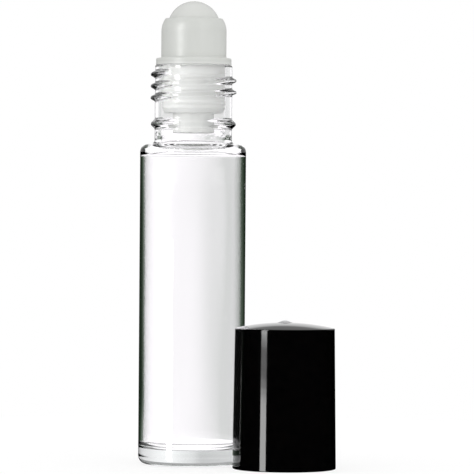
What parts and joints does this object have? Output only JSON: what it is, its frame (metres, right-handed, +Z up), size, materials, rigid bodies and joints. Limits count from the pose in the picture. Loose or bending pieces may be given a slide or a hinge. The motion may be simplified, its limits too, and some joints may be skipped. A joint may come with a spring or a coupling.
{
  "type": "roll-on bottle",
  "caption": "Slim clear glass roll-on bottle with a screw neck, a pressed-in plastic roller housing and ball, and its gloss black screw cap standing beside it.",
  "frame": {"origin": "on the bottle's axis, on the surface that it stands on", "axes": "+Z up along the bottle's axis; +X to the right and -Y to the front, where the cap stands"},
  "size_m": [0.0353, 0.0279, 0.0831],
  "materials": {
    "clear_glass": "fire-polished clear flint glass with a faint green edge",
    "natural_plastic": "satin natural polyethylene, milky",
    "ball_plastic": "smooth natural polypropylene, milky",
    "black_plastic": "polished gloss black"
  },
  "bodies": {
    "bottle": {"glass_bottle": "clear_glass", "roller_housing": "natural_plastic"},
    "ball": {"roller_ball": "ball_plastic"},
    "cap": {"screw_cap": "black_plastic"}
  },
  "joints": [
    {"name": "ball_roll", "type": "hinge", "parent": "bottle", "child": "ball", "pos_m": [0, 0, 0.07838], "axis": [1, 0, 0], "continuous": true},
    {"name": "cap_lift", "type": "slide", "parent": "bottle", "child": "cap", "axis": [0, 0, 1], "range_m": [0, 0.09]}
  ]
}
